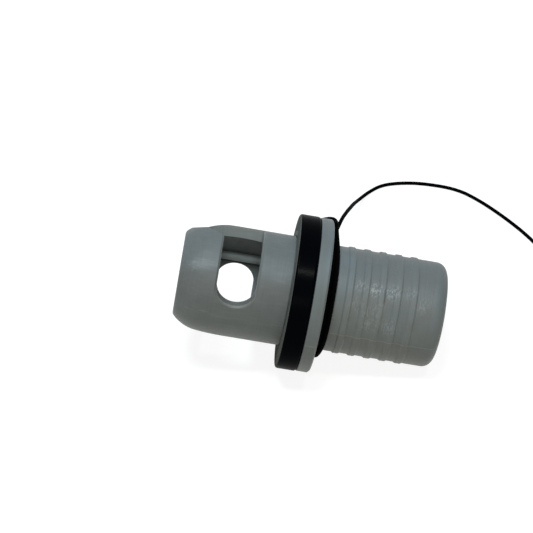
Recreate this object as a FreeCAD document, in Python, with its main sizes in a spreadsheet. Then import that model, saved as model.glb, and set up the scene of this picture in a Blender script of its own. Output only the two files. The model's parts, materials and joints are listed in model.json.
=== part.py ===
import FreeCAD, Part
import math
import os
import Sketcher

# Inflatable boat valve adapter: a moulded nose, flange and hose spigot in one piece, a rubber
# gasket ring on the nose, and a thin retaining cord tied round the neck.
#
# The moulding and the gasket are drawn about their own X axis, which runs from the nose's tip to
# the spigot's end, with the -Y side as the facing side. The part then lies down as it rests on a
# table: on the flange's rear rim and the spigot's end, nose up. +X runs towards the spigot, +Z is
# up, and the origin is on the table under the middle of the part, cord apart.

Vector = FreeCAD.Vector
AXIS_X = Vector(1, 0, 0)
AXIS_Y = Vector(0, 1, 0)
AXIS_Z = Vector(0, 0, 1)

# Driving dimensions, in millimetres and degrees
DIMENSIONS = [
    ("nose_length", 22.5, "tip face to the gasket"),
    ("nose_radius", 11.33, "outside of the nose"),
    ("dome_length", 10.6, "tip face to where the nose becomes straight"),
    ("shoulder_length", 5.0, "tip face to where the tight shoulder curve begins"),
    ("crown_radius", 50.0, "long curve of the dome"),
    ("shoulder_radius", 8.0, "short curve of the dome"),
    ("tip_edge_radius", 1.0, "rounding at the tip's face"),
    ("tip_opening_radius", 5.6, "air opening in the tip"),
    ("tip_opening_depth", 2.2, "straight part of that opening"),
    ("throat_length", 4.3, "taper from the opening to the bore"),
    ("bore_radius", 8.8, "inside of the nose"),
    ("spigot_bore_radius", 8.3, "inside of the spigot"),
    ("bore_taper_length", 2.0, "taper between the two, inside the flange"),
    ("bore_swell", 0.3, "how far the bore swells across the windows"),
    ("bore_mouth_chamfer", 0.5, "lead-in at the spigot's mouth"),
    ("window_start", 7.75, "tip face to the windows"),
    ("window_width", 7.95, "windows, along the axis"),
    ("window_reach_angle", 25.0, "how far the round end goes past the side"),
    ("window_rim_chamfer", 0.4, "broken edge round the windows"),
    ("relief_start", 0.7, "tip face to the lead-in"),
    ("relief_start_depth", 1.94, "lead-in at the tip, under the nose's outside"),
    ("relief_crest", 4.2, "tip face to the crest that the valve's lug snaps over"),
    ("relief_crest_depth", 1.23, "that crest, under the nose's outside"),
    ("relief_window_depth", 2.27, "lead-in where it meets the window, under the nose's outside"),
    ("relief_runout", 9.0, "tip face to where the far half's lead-in runs out"),
    ("relief_rise_radius", 14.0, "curve of the far half's lead-in behind the crest"),
    ("rib_radius", 1.0, "half-round ribs inside the bore"),
    ("rib_angle", 143.0, "place of the first rib, from the facing side"),
    ("rib_start", 3.2, "tip face to the ribs"),
    ("rib_length", 19.0, "length of the ribs"),
    ("gasket_thickness", 4.25, "gasket, along the axis"),
    ("gasket_overhang", 0.1, "how far the gasket stands out past the flange"),
    ("gasket_seat_depth", 0.33, "groove in the nose that holds the gasket"),
    ("gasket_seat_gap", 0.15, "play of the gasket in that groove, along the axis"),
    ("gasket_edge_radius", 0.5, "rounding of the gasket's outer edges"),
    ("gasket_face_margin", 0.1, "gasket's flat face stands clear of the nose by this"),
    ("flange_thickness", 2.7, "flange, along the axis"),
    ("flange_radius", 15.9, "outside of the flange"),
    ("flange_front_radius", 0.3, "rounding of the edge at the gasket"),
    ("flange_rear_chamfer", 0.35, "broken edge on the neck's side"),
    ("spigot_length", 24.65, "flange to the spigot's end"),
    ("spigot_radius", 10.85, "valley of the ridged spigot"),
    ("spigot_end_radius", 2.2, "rounding of the spigot's end"),
    ("ridge_count", 5, "ridges that grip the hose"),
    ("ridge_start", 3.88, "flange to the first ridge"),
    ("ridge_pitch", 3.24, "ridge to ridge"),
    ("ridge_width", 1.7, "foot of a ridge, along the axis"),
    ("ridge_crest_width", 1.0, "crest of a ridge, along the axis"),
    ("ridge_height", 0.22, "ridge above the valley"),
    ("window_turn", 40.4, "how far the facing side is turned up from level"),
    ("cord_diameter", 0.82, "retaining cord"),
    ("cord_gap", 0.05, "clearance of the cord where it is tied"),
    ("turn_gap", 0.15, "clearance between the cord's two turns on the neck"),
    ("climb_angle", 52.0, "where a turn of the cord leaves the neck, from the facing side"),
    ("hook_reach", 3.1, "how far it lies over the flange's rim"),
    ("hook_lift", 0.45, "rise of its straight runs over the round rim"),
    ("hook_near_angle", 113.0, "where it turns along the rim, from the facing side"),
    ("hook_far_angle", 124.0, "where it turns back over the rim"),
    ("knot_angle", 140.0, "place of the knot behind the flange"),
    ("knot_diameter", 2.1, "both knots"),
    ("coil_diameter", 8.6, "coil, at the middle of its turns"),
    ("coil_layers", 2, "turns beside each other, and on each other"),
    ("tie_thickness", 0.3, "band round the coil"),
    ("tie_width", 1.2, "that band, along the coil"),
    ("tie_angle", 115.0, "place of the band round the coil"),
    ("end_knot_angle", -55.0, "place of the end knot round the coil"),
]

# The cord's free run on the table, from the knot to the coil, in millimetres
CORD_ROUTE = [
    (4.4, 20.2, 16.2),
    (5.4, 24.6, 16.2),
    (6.5, 30.4, 13.7),
    (6.9, 36.6, 9.8),
    (7.2, 43.2, 5.5),
    (8.2, 50.0, 1.6),
    (10.5, 55.5, 0.41),
    (15.3, 57.5, 0.41),
    (22.6, 57.7, 0.41),
    (30.7, 55.6, 0.41),
    (35.8, 50.9, 0.41),
    (41.1, 45.0, 0.41),
    (45.9, 38.5, 0.41),
    (49.0, 33.2, 0.41),
    (50.0, 28.4, 0.41),
]

document = FreeCAD.newDocument("valve_adapter")
sheet = document.addObject("Spreadsheet::Sheet", "Dimensions")
for row, (name, number, meaning) in enumerate(DIMENSIONS, start=1):
    sheet.set(f"A{row}", meaning)
    sheet.set(f"B{row}", str(number))
    sheet.setAlias(f"B{row}", name)
document.recompute()


class Size:
    """A length, with the formula that keeps a feature tied to the sheet."""

    def __init__(self, number, formula=None):
        self.number = float(number)
        self.formula = formula or str(float(number))

    def joined(self, sign, other, number):
        return Size(number, f"({self.formula} {sign} {other.formula})")

    def __add__(self, other):
        other = as_size(other)
        return self.joined("+", other, self.number + other.number)

    def __sub__(self, other):
        other = as_size(other)
        return self.joined("-", other, self.number - other.number)

    def __mul__(self, other):
        other = as_size(other)
        return self.joined("*", other, self.number * other.number)

    def __truediv__(self, other):
        other = as_size(other)
        return self.joined("/", other, self.number / other.number)


def as_size(value):
    return value if isinstance(value, Size) else Size(value)


def size(name):
    """The named dimension."""
    return Size(sheet.get(name), f"Dimensions.{name}")


def root(value):
    return Size(math.sqrt(value.number), f"sqrt({value.formula})")


def sine(angle):
    return Size(math.sin(math.radians(angle.number)), f"sin({angle.formula} * 1 deg)")


def cosine(angle):
    return Size(math.cos(math.radians(angle.number)), f"cos({angle.formula} * 1 deg)")


def tie(owner, field, value):
    """Ties a feature's property to the sheet."""
    owner.setExpression(field, as_size(value).formula)


ZERO = Size(0)
gasket_radius = size("flange_radius") + size("gasket_overhang")
seat_radius = size("nose_radius") - size("gasket_seat_depth")
flange_front = size("nose_length") + size("gasket_thickness")
flange_back = flange_front + size("flange_thickness")
spigot_end = flange_back + size("spigot_length")
window_end = size("window_start") + size("window_width")
window_middle = size("window_start") + size("window_width") / 2
clear_of_all = size("nose_radius") * 2


def flat(point):
    return Vector(point[0].number, point[1].number, 0)


def bowed(start, end, radius, bulge):
    """An arc from start to end that bows to the left of its way (bulge 1) or the right (-1)."""
    chord = end - start
    left = Vector(-chord.y, chord.x, 0).normalize()
    drop = math.sqrt(radius**2 - (chord.Length / 2) ** 2)
    centre = (start + end) * 0.5 - left * (bulge * drop)
    first, second = (end, start) if bulge > 0 else (start, end)
    low = math.atan2(first.y - centre.y, first.x - centre.x)
    high = math.atan2(second.y - centre.y, second.x - centre.x)
    if high < low:
        high += 2 * math.pi
    return Part.ArcOfCircle(Part.Circle(centre, AXIS_Z, radius), low, high)


def constrain(sketch, kind, refs, value):
    """Adds a measure to a sketch and ties it to the sheet."""
    number = sketch.addConstraint(Sketcher.Constraint(kind, *refs, value.number))
    if "Dimensions" in value.formula:
        sketch.setExpression(f"Constraints[{number}]", value.formula)


def pin(sketch, item, end, point):
    """Holds one end of a line or an arc at a point."""
    constrain(sketch, "DistanceX", (-1, 1, item, end), point[0])
    constrain(sketch, "DistanceY", (-1, 1, item, end), point[1])


def draw_outline(sketch, start, steps):
    """Draws a closed outline. A step is (x, y) for a line, or (x, y, radius, bulge) for an arc."""
    corner = start
    first_item, first_end = None, None
    last_item, last_end = None, None
    for step in steps + [start]:
        target = step[:2]
        if len(step) == 2:
            item = sketch.addGeometry(Part.LineSegment(flat(corner), flat(target)), False)
            near, far = 1, 2
        else:
            radius, bulge = step[2:]
            curve = bowed(flat(corner), flat(target), radius.number, bulge)
            item = sketch.addGeometry(curve, False)
            near, far = (2, 1) if bulge > 0 else (1, 2)
            constrain(sketch, "Radius", (item,), radius)
        if last_item is None:
            first_item, first_end = item, near
        else:
            sketch.addConstraint(Sketcher.Constraint("Coincident", last_item, last_end, item, near))
        if step is start:
            joint = Sketcher.Constraint("Coincident", item, far, first_item, first_end)
            sketch.addConstraint(joint)
            pin(sketch, first_item, first_end, start)
        else:
            pin(sketch, item, far, target)
        last_item, last_end = item, far
        corner = target


def new_body(label):
    body = document.addObject("PartDesign::Body", label)
    body.Label = label
    return body


def origin_item(body, role):
    """One of the body's own planes or axes."""
    return next(item for item in body.Origin.OriginFeatures if item.Role == role)


def new_sketch(body, name, plane, offset=ZERO):
    sketch = body.newObject("Sketcher::SketchObject", name)
    sketch.AttachmentSupport = (origin_item(body, plane), "")
    sketch.MapMode = "FlatFace"
    if offset is not ZERO:
        sketch.setExpression("AttachmentOffset.Base.z", offset.formula)
    return sketch


def new_feature(body, kind, name):
    return body.newObject("PartDesign::" + kind, name)


def turn_feature(body, kind, name, start, steps):
    """A turned feature about the body's X axis, from an outline of (along, radius) points."""
    sketch = new_sketch(body, name + "_sketch", "XY_Plane")
    draw_outline(sketch, start, steps)
    feature = new_feature(body, kind, name)
    feature.Profile = sketch
    feature.ReferenceAxis = (sketch, ["H_Axis"])
    feature.Angle = 360
    document.recompute()
    return feature


def opposite_pair(body, name, features):
    """The same features again, half a turn on about the X axis."""
    pattern = new_feature(body, "PolarPattern", name)
    pattern.Originals = features
    pattern.Axis = (origin_item(body, "X_Axis"), [""])
    pattern.Angle = 360
    pattern.Occurrences = 2
    body.Tip = pattern
    document.recompute()


def ring_edges(shape, along, radius):
    """Names of the round edges at a place along the axis, with a radius."""
    names = []
    for number, edge in enumerate(shape.Edges, start=1):
        middle = edge.valueAt((edge.FirstParameter + edge.LastParameter) / 2)
        in_place = abs(middle.x - along.number) < 1e-4
        if in_place and abs(math.hypot(middle.y, middle.z) - radius.number) < 1e-4:
            names.append(f"Edge{number}")
    return names


def finish_edges(body, kind, name, edges, field, value):
    """A fillet or a chamfer on edges of the body's shape so far."""
    base = body.Tip
    feature = new_feature(body, kind, name)
    feature.Base = (base, edges)
    tie(feature, field, value)
    document.recompute()


def dome_steps():
    """The nose's tip: a face, an edge rounding, a tight shoulder and a long crown, all tangent."""
    crown, shoulder, edge = size("crown_radius"), size("shoulder_radius"), size("tip_edge_radius")
    lean = (size("dome_length") - size("shoulder_length")) / crown
    upright = root(Size(1) - lean * lean)
    shoulder_start = (
        size("shoulder_length"),
        size("nose_radius") - crown + crown * upright,
    )
    shoulder_centre = (
        size("dome_length") - (crown - shoulder) * lean,
        size("nose_radius") - crown + (crown - shoulder) * upright,
    )
    run = shoulder_centre[0] - edge
    rise = root((shoulder - edge) * (shoulder - edge) - run * run)
    reach = shoulder / (shoulder - edge)
    edge_start = (shoulder_centre[0] - run * reach, shoulder_centre[1] + rise * reach)
    return [
        (ZERO, shoulder_centre[1] + rise),
        (*edge_start, edge, 1),
        (*shoulder_start, shoulder, 1),
        (size("dome_length"), size("nose_radius"), crown, 1),
    ]


def add_turned_blank(body):
    """Nose with the gasket's groove, flange and plain spigot, solid to the axis."""
    seat_start = size("nose_length") - size("gasket_seat_gap")
    steps = dome_steps() + [
        (seat_start, size("nose_radius")),
        (seat_start, seat_radius),
        (flange_front, seat_radius),
        (flange_front, size("flange_radius")),
        (flange_back, size("flange_radius")),
        (flange_back, size("spigot_radius")),
        (spigot_end, size("spigot_radius")),
        (spigot_end, ZERO),
    ]
    turn_feature(body, "Revolution", "turned_blank", (ZERO, ZERO), steps)


def round_rims(body):
    """Breaks the flange's edges and rounds the spigot's end."""
    rim = size("flange_radius")
    for kind, name, along, radius, field, value in [
        ("Fillet", "flange_front_edge", flange_front, rim, "Radius", "flange_front_radius"),
        ("Chamfer", "flange_rear_edge", flange_back, rim, "Size", "flange_rear_chamfer"),
        ("Fillet", "spigot_end_edge", spigot_end, size("spigot_radius"), "Radius", "spigot_end_radius"),
    ]:
        edges = ring_edges(body.Tip.Shape, along, radius)
        finish_edges(body, kind, name, edges, field, size(value))


def add_ridges(body):
    """Low ridges with sloping flanks, one drawn and the rest repeated along the spigot."""
    foot = size("ridge_width")
    start = flange_back + size("ridge_start")
    slope = (foot - size("ridge_crest_width")) / 2
    top = size("spigot_radius") + size("ridge_height")
    rooted = size("spigot_radius") - size("ridge_height")
    steps = [
        (start, size("spigot_radius")),
        (start + slope, top),
        (start + foot - slope, top),
        (start + foot, size("spigot_radius")),
        (start + foot, rooted),
    ]
    ridge = turn_feature(body, "Revolution", "ridge", (start, rooted), steps)
    pattern = new_feature(body, "LinearPattern", "ridges")
    pattern.Originals = [ridge]
    pattern.Direction = (origin_item(body, "X_Axis"), [""])
    tie(pattern, "Length", size("ridge_pitch") * (size("ridge_count") - 1))
    tie(pattern, "Occurrences", size("ridge_count"))
    body.Tip = pattern
    document.recompute()


def cut_bore(body):
    """The air way: tip opening, throat, a bore that swells across the windows, and the mouth."""
    past = Size(1)
    throat_end = size("tip_opening_depth") + size("throat_length")
    swell_end = window_end + size("window_start") - throat_end
    half = (swell_end - throat_end) / 2
    swell = size("bore_swell")
    swell_radius = (half * half + swell * swell) / (swell * 2)
    mouth = size("bore_mouth_chamfer")
    steps = [
        (ZERO - past, size("tip_opening_radius")),
        (size("tip_opening_depth"), size("tip_opening_radius")),
        (throat_end, size("bore_radius")),
        (swell_end, size("bore_radius"), swell_radius, 1),
        (flange_front, size("bore_radius")),
        (flange_front + size("bore_taper_length"), size("spigot_bore_radius")),
        (spigot_end - mouth, size("spigot_bore_radius")),
        (spigot_end + past, size("spigot_bore_radius") + mouth + past),
        (spigot_end + past, ZERO),
    ]
    turn_feature(body, "Groove", "bore", (ZERO - past, ZERO), steps)


def add_ribs(body):
    """Two half-round ribs along the bore's wall, opposite each other."""
    sketch = new_sketch(body, "rib_sketch", "YZ_Plane", size("rib_start"))
    across = ZERO - cosine(size("rib_angle")) * size("bore_radius")
    up = sine(size("rib_angle")) * size("bore_radius")
    circle = Part.Circle(flat((across, up)), AXIS_Z, size("rib_radius").number)
    item = sketch.addGeometry(circle, False)
    constrain(sketch, "Radius", (item,), size("rib_radius"))
    pin(sketch, item, 3, (across, up))
    rib = new_feature(body, "Pad", "rib")
    rib.Profile = sketch
    tie(rib, "Length", size("rib_length"))
    document.recompute()
    opposite_pair(body, "ribs", [rib])


def pocket(body, name, outline, reverse):
    """A cut from the middle plane, straight towards the facing side when reversed."""
    sketch = new_sketch(body, name + "_sketch", "XZ_Plane")
    draw_outline(sketch, outline[0], outline[1:])
    feature = new_feature(body, "Pocket", name)
    feature.Profile = sketch
    feature.Reversed = reverse
    tie(feature, "Length", clear_of_all)
    document.recompute()
    return feature


def cut_windows(body):
    """Two bayonet windows. Each runs from a square end at the middle plane, over the facing side,
    to a round end whose walls point at the axis."""
    half = size("window_width") / 2
    low, high = size("window_start"), window_end
    square = pocket(body, "window_square", [
        (low, ZERO),
        (low, clear_of_all),
        (high, clear_of_all),
        (high, ZERO),
    ], True)
    slanted = pocket(body, "window_round", [
        (low, half * 2),
        (high, half * 2),
        (high, half),
        (window_middle, ZERO, half, 1),
        (low, half, half, 1),
    ], False)
    reach = math.tan(math.radians(size("window_reach_angle").number))
    slanted.UseCustomVector = True
    slanted.Direction = Vector(0, -1, -reach)
    document.recompute()
    opposite_pair(body, "windows", [square, slanted])


def cut_lead_in(body):
    """The shallow way in for the valve's lug, over the tip's top: up to a crest, then on the
    facing half down to the window, and on the far half out to the full dome."""
    past = Size(1)
    outside = size("nose_radius")
    ramp = [
        (ZERO - past, outside - size("relief_start_depth")),
        (size("relief_start"), outside - size("relief_start_depth")),
        (size("relief_crest"), outside - size("relief_crest_depth")),
    ]
    fall = size("relief_window_depth") - size("relief_crest_depth")
    run = size("window_start") - size("relief_crest")
    into_window = window_middle - size("window_start")
    to_window = (window_middle, outside - size("relief_window_depth") - fall / run * into_window)
    to_dome = (size("relief_runout"), outside, size("relief_rise_radius"), 1)
    for name, end, reverse in [("near_lead_in", to_window, True), ("far_lead_in", to_dome, False)]:
        outline = ramp + [end, (end[0], clear_of_all), (ZERO - past, clear_of_all)]
        pocket(body, name, outline, reverse)


def window_rim_edges(shape):
    """Names of the edges where the windows meet the outside, the square ends' lips apart."""
    names = []
    for number, edge in enumerate(shape.Edges, start=1):
        middle = edge.valueAt((edge.FirstParameter + edge.LastParameter) / 2)
        within = size("window_start").number - 1e-4 < middle.x < window_end.number + 1e-4
        reach = math.hypot(middle.y, middle.z)
        outer = size("nose_radius").number - size("window_rim_chamfer").number < reach
        lip = abs(middle.y) < 1e-4
        if within and outer and not lip:
            names.append(f"Edge{number}")
    return names


def break_window_rims(body):
    edges = window_rim_edges(body.Tip.Shape)
    finish_edges(body, "Chamfer", "window_rims", edges, "Size", size("window_rim_chamfer"))


def make_adapter_body():
    body = new_body("adapter_body")
    add_turned_blank(body)
    round_rims(body)
    add_ridges(body)
    cut_bore(body)
    add_ribs(body)
    cut_windows(body)
    break_window_rims(body)
    cut_lead_in(body)
    return body


def make_gasket_ring():
    """A plain rubber ring in its groove, flat on the flange."""
    body = new_body("gasket_ring")
    start = (size("nose_length"), seat_radius)
    steps = [
        (size("nose_length"), gasket_radius),
        (flange_front, gasket_radius),
        (flange_front, seat_radius),
    ]
    turn_feature(body, "Revolution", "gasket_blank", start, steps)
    edges = []
    for along in (size("nose_length"), flange_front):
        edges += ring_edges(body.Tip.Shape, along, gasket_radius)
    finish_edges(body, "Fillet", "gasket_edges", edges, "Radius", size("gasket_edge_radius"))
    inner = ring_edges(body.Tip.Shape, size("nose_length"), seat_radius)
    bevel = size("gasket_seat_depth") + size("gasket_face_margin")
    finish_edges(body, "Chamfer", "gasket_lead_in", inner, "Size", bevel)
    return body


def resting_turn():
    """The turn from the upright drawing to how the part lies, and the lean of its axis."""
    rim = Vector(flange_back.number - size("flange_rear_chamfer").number, size("flange_radius").number, 0)
    end_rounding = size("spigot_end_radius").number
    end = Vector(spigot_end.number - end_rounding, size("spigot_radius").number - end_rounding, 0)
    reach = end - rim
    lean = math.degrees(math.atan2(-reach.y, reach.x) - math.asin(end_rounding / reach.Length))
    facing = FreeCAD.Rotation(AXIS_X, -size("window_turn").number)
    return FreeCAD.Rotation(AXIS_Y, lean).multiply(facing), lean


def resting_place(bodies):
    """The placement that lies the part on the table, with the origin under its middle."""
    turn, lean = resting_turn()
    box = FreeCAD.BoundBox()
    for body in bodies:
        turned = body.Shape.copy()
        turned.Placement = FreeCAD.Placement(Vector(), turn)
        box.add(turned.optimalBoundingBox(False, False))
    middle = box.Center
    return FreeCAD.Placement(Vector(-middle.x, -middle.y, -box.ZMin), turn), lean


def ring_point(along, radius, angle):
    """A point about the part's axis. The angle runs from the facing side, up over the top."""
    turned = math.radians(angle)
    return Vector(along, -radius * math.cos(turned), radius * math.sin(turned))


def around(angle):
    """The direction of a rising angle about the part's axis."""
    return ring_point(0, 1, angle + 90)


def rounded_edges(points):
    """Straight runs joined by tangent arcs, each as large as its two runs allow."""
    edges = []
    start = points[0]
    for before, corner, after in zip(points, points[1:], points[2:]):
        back, onward = before - corner, after - corner
        half_turn = (math.pi - back.getAngle(onward)) / 2
        trim = 0.45 * min(back.Length, onward.Length)
        radius = trim / math.tan(half_turn)
        back.normalize()
        onward.normalize()
        middle = (back + onward).normalize()
        arc_start, arc_end = corner + back * trim, corner + onward * trim
        drop = radius / math.cos(half_turn) - radius
        arc = Part.Arc(arc_start, corner + middle * drop, arc_end)
        edges += [Part.LineSegment(start, arc_start).toShape(), arc.toShape()]
        print("cord arc radius", round(radius, 2), "turn", round(math.degrees(2 * half_turn), 1))
        start = arc_end
    return edges + [Part.LineSegment(start, points[-1]).toShape()]


def cord_tube(edges):
    """A round tube along joined edges."""
    path = Part.Wire(edges)
    first = edges[0]
    radius = size("cord_diameter").number / 2
    section = Part.Wire(Part.makeCircle(radius, first.Vertexes[0].Point, first.tangentAt(0)))
    tube = path.makePipeShell([section], True, False)
    print("cord length", round(path.Length, 2), "tube volume", round(tube.Volume, 3),
          "section by length", round(math.pi * radius**2 * path.Length, 3))
    return tube


def new_shape(label, shape):
    item = document.addObject("Part::Feature", label)
    item.Label = label
    item.Shape = shape
    return item


def knot_place():
    """The knot behind the flange's rim, in the part's own drawing."""
    close = size("cord_diameter").number / 2 + size("cord_gap").number
    rim = gasket_radius.number + close + size("hook_lift").number
    return ring_point(flange_back.number + close, rim, size("knot_angle").number)


def climbing_edges():
    """The turn that leaves the neck, climbs the flange's back and hooks over its rim to the
    knot, then comes down on the far side."""
    close = size("cord_diameter").number / 2 + size("cord_gap").number
    plane = flange_back.number + close
    neck = size("spigot_radius").number + close
    knot = knot_place()
    rim = math.hypot(knot.y, knot.z)
    swing = math.degrees(math.acos(neck / rim))
    rise = math.sqrt(rim**2 - neck**2)
    climb = size("climb_angle").number
    landing = size("knot_angle").number + swing
    leave = ring_point(plane, neck, climb)
    underside = ring_point(plane, neck, (climb + landing + 360) / 2)
    land = ring_point(plane, neck, landing)
    over = flange_back.number - size("hook_reach").number
    climbing = [
        leave,
        leave + around(climb) * rise,
        ring_point(over, rim, size("hook_near_angle").number),
        ring_point(over, rim, size("hook_far_angle").number),
    ]
    knot_radius = size("knot_diameter").number / 2
    climbing.append(knot + (climbing[-1] - knot).normalize() * knot_radius)
    falling = Part.LineSegment(knot + (land - knot).normalize() * knot_radius, land).toShape()
    turn = Part.Arc(land, underside, leave).toShape()
    return [falling, turn] + rounded_edges(climbing)


def make_neck_loop():
    """Two turns of the cord, side by side on the neck."""
    close = size("cord_diameter") / 2 + size("cord_gap")
    plain_turn = document.addObject("Part::Torus", "plain_turn")
    tie(plain_turn, "Radius1", size("spigot_radius") + close)
    tie(plain_turn, "Radius2", size("cord_diameter") / 2)
    plain_turn.Placement.Rotation = FreeCAD.Rotation(AXIS_Z, AXIS_X)
    tie(plain_turn, "Placement.Base.x", flange_back + close + size("cord_diameter") + size("turn_gap"))
    climbing_turn = new_shape("climbing_turn", cord_tube(climbing_edges()))
    loop = document.addObject("Part::Compound", "neck_loop")
    loop.Label = "neck_loop"
    loop.Links = [plain_turn, climbing_turn]
    return loop


def make_knot(label, centre):
    knot = document.addObject("Part::Sphere", label)
    knot.Label = label
    tie(knot, "Radius", size("knot_diameter") / 2)
    knot.Placement.Base = centre
    return knot


def make_tether_cord(knot_centre):
    route = [Vector(*point) for point in CORD_ROUTE]
    out = (route[0] - knot_centre).normalize()
    start = knot_centre + out * (size("knot_diameter").number / 2)
    return new_shape("tether_cord", cord_tube(rounded_edges([start] + route)))


def wrap_outline(margin):
    """The coil's section, a rounded square on the table, grown by a margin."""
    corner = size("cord_diameter") / 2 + margin
    half = size("cord_diameter") * size("coil_layers") / 2 + margin
    middle = size("coil_diameter") / 2
    low = size("tie_thickness") - margin
    high = low + half * 2
    left, right = middle - half, middle + half
    return (left + corner, low), [
        (right - corner, low),
        (right, low + corner, corner, 1),
        (right, high - corner),
        (right - corner, high, corner, 1),
        (left + corner, high),
        (left, high - corner, corner, 1),
        (left, low + corner),
    ]


def coil_centre():
    """The coil lies beside the end of the cord's free run, on its left-hand side."""
    last = Vector(*CORD_ROUTE[-1])
    ahead = (last - Vector(*CORD_ROUTE[-2])).normalize()
    beside = Vector(-ahead.y, ahead.x, 0)
    diameter = size("cord_diameter").number
    outside = (size("coil_diameter").number + diameter * size("coil_layers").number) / 2
    spot = last + beside * (outside + diameter / 2 + size("cord_gap").number)
    return Vector(spot.x, spot.y, 0)


def turn_upright(body, name, outlines, angle):
    """A piece turned about the body's Z axis, from outlines of (out, up) points."""
    sketch = new_sketch(body, name + "_sketch", "XZ_Plane")
    for start, steps in outlines:
        draw_outline(sketch, start, steps)
    feature = new_feature(body, "Revolution", name)
    feature.Profile = sketch
    feature.ReferenceAxis = (sketch, ["V_Axis"])
    tie(feature, "Angle", angle)
    feature.Midplane = True
    document.recompute()


def make_tether_coil(centre):
    body = new_body("tether_coil")
    turn_upright(body, "coil_turns", [wrap_outline(ZERO)], Size(360))
    body.Placement.Base = centre
    return body


def make_coil_tie(centre):
    """A band round the coil. The coil's own outline is the hole in it."""
    body = new_body("coil_tie")
    outlines = [wrap_outline(size("tie_thickness")), wrap_outline(ZERO)]
    angle = size("tie_width") * 360 / (size("coil_diameter") * math.pi)
    turn_upright(body, "tie_band", outlines, angle)
    facing = FreeCAD.Rotation(AXIS_Z, size("tie_angle").number)
    body.Placement = FreeCAD.Placement(centre, facing)
    return body


def end_knot_place(centre):
    """Beside the coil on the table."""
    wrap = size("cord_diameter").number * size("coil_layers").number
    radius = size("knot_diameter").number / 2
    out = (size("coil_diameter").number + wrap) / 2 + radius + size("cord_gap").number
    turned = math.radians(size("end_knot_angle").number)
    return centre + Vector(out * math.cos(turned), out * math.sin(turned), radius)


adapter_body = make_adapter_body()
gasket_ring = make_gasket_ring()
neck_loop = make_neck_loop()
placement, lean = resting_place([adapter_body, gasket_ring])
for item in (adapter_body, gasket_ring, neck_loop):
    item.Placement = placement
knot_centre = placement.multVec(knot_place())
neck_knot = make_knot("neck_knot", knot_centre)
tether_cord = make_tether_cord(knot_centre)
tether_coil = make_tether_coil(coil_centre())
coil_tie = make_coil_tie(coil_centre())
end_knot = make_knot("end_knot", end_knot_place(coil_centre()))
document.recompute()
print("axis lean, degrees:", round(lean, 3))
print("placement:", placement)
print("knot:", knot_centre, "coil:", coil_centre())

PARTS = [
    adapter_body,
    gasket_ring,
    neck_loop,
    neck_knot,
    tether_cord,
    tether_coil,
    coil_tie,
    end_knot,
]


def check_document():
    """Stops if any object failed or any piece is not one good solid."""
    for item in document.Objects:
        if "Invalid" in item.State or "Error" in item.State:
            raise RuntimeError(f"{item.Name} failed: {item.State}")
    for part in PARTS:
        if part.Shape.isNull() or not part.Shape.isValid():
            raise RuntimeError(f"{part.Label} has no good shape")


check_document()
os.makedirs("parts", exist_ok=True)
for part in PARTS:
    part.Shape.exportStep(f"parts/{part.Label}.step")
    print(part.Label, "volume", round(part.Shape.Volume, 2), "solids", len(part.Shape.Solids))
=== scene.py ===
import json
import math

import bpy
from mathutils import Matrix, Vector
from mathutils.bvhtree import BVHTree


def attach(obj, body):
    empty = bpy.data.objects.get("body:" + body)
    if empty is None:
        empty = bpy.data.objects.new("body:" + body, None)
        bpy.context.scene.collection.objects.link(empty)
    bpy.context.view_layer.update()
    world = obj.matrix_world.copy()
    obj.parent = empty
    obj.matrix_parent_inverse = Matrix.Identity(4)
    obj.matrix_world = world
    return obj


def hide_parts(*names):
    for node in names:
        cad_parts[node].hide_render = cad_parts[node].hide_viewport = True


# Inflatable boat valve adapter: finishes for the grey moulding and the rubber gasket, and the
# braided retaining cord. Named sizes are in millimetres and degrees. What is built is in metres,
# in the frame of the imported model.

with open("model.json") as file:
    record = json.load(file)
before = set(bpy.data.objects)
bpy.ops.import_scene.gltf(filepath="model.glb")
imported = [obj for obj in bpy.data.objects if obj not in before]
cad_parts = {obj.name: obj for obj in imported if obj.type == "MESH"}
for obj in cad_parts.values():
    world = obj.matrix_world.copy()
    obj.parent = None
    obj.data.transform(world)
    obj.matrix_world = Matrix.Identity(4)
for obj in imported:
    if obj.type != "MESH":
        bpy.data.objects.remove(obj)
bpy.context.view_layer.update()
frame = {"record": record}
MM = 0.001

# The part's own axes. Along runs from the tip to the spigot's end. Away and upper turn with the
# windows. An angle about the axis runs from the facing side, up over the top.
MOUNTS = {mount["name"]: mount for mount in frame["record"]["mounts"]}
ALONG = Vector(MOUNTS["air_bore"]["axis"])
BORE_MIDDLE = 41.175
TIP = Vector(MOUNTS["air_bore"]["pos_m"]) - ALONG * BORE_MIDDLE * MM
WINDOW_TURN = math.radians(40.4)
SIDE = Vector((0, 1, 0))
RISE = ALONG.cross(SIDE)
AWAY = SIDE * math.cos(WINDOW_TURN) - RISE * math.sin(WINDOW_TURN)
UPPER = RISE * math.cos(WINDOW_TURN) + SIDE * math.sin(WINDOW_TURN)
PART_AXES = Matrix((ALONG, AWAY, UPPER)).transposed()

# Sizes of the moulding and the gasket, from the tip or from the axis
GASKET_FACE = 22.5
FLANGE_FRONT = 26.75
FLANGE_BACK = 29.45
SPIGOT_END = 54.1
SPIGOT_RADIUS = 10.85
GASKET_RADIUS = 16.0
RIDGE_START = FLANGE_BACK + 3.88
RIDGE_PITCH = 3.24

# The mould's parting line: where its halves meet, and how it stands out of the moulding
PARTING_ANGLE = -39.5
PARTING_HALF_WIDTH = 0.09
PARTING_HEIGHT = 0.035
PARTING_SUNK = 0.02
PARTING_STEPS = 360
PARTING_END_MARGIN = 0.6
PARTING_LEAST_RADIUS = 9.0
OUTSIDE_RADIUS = 25.0

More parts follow.
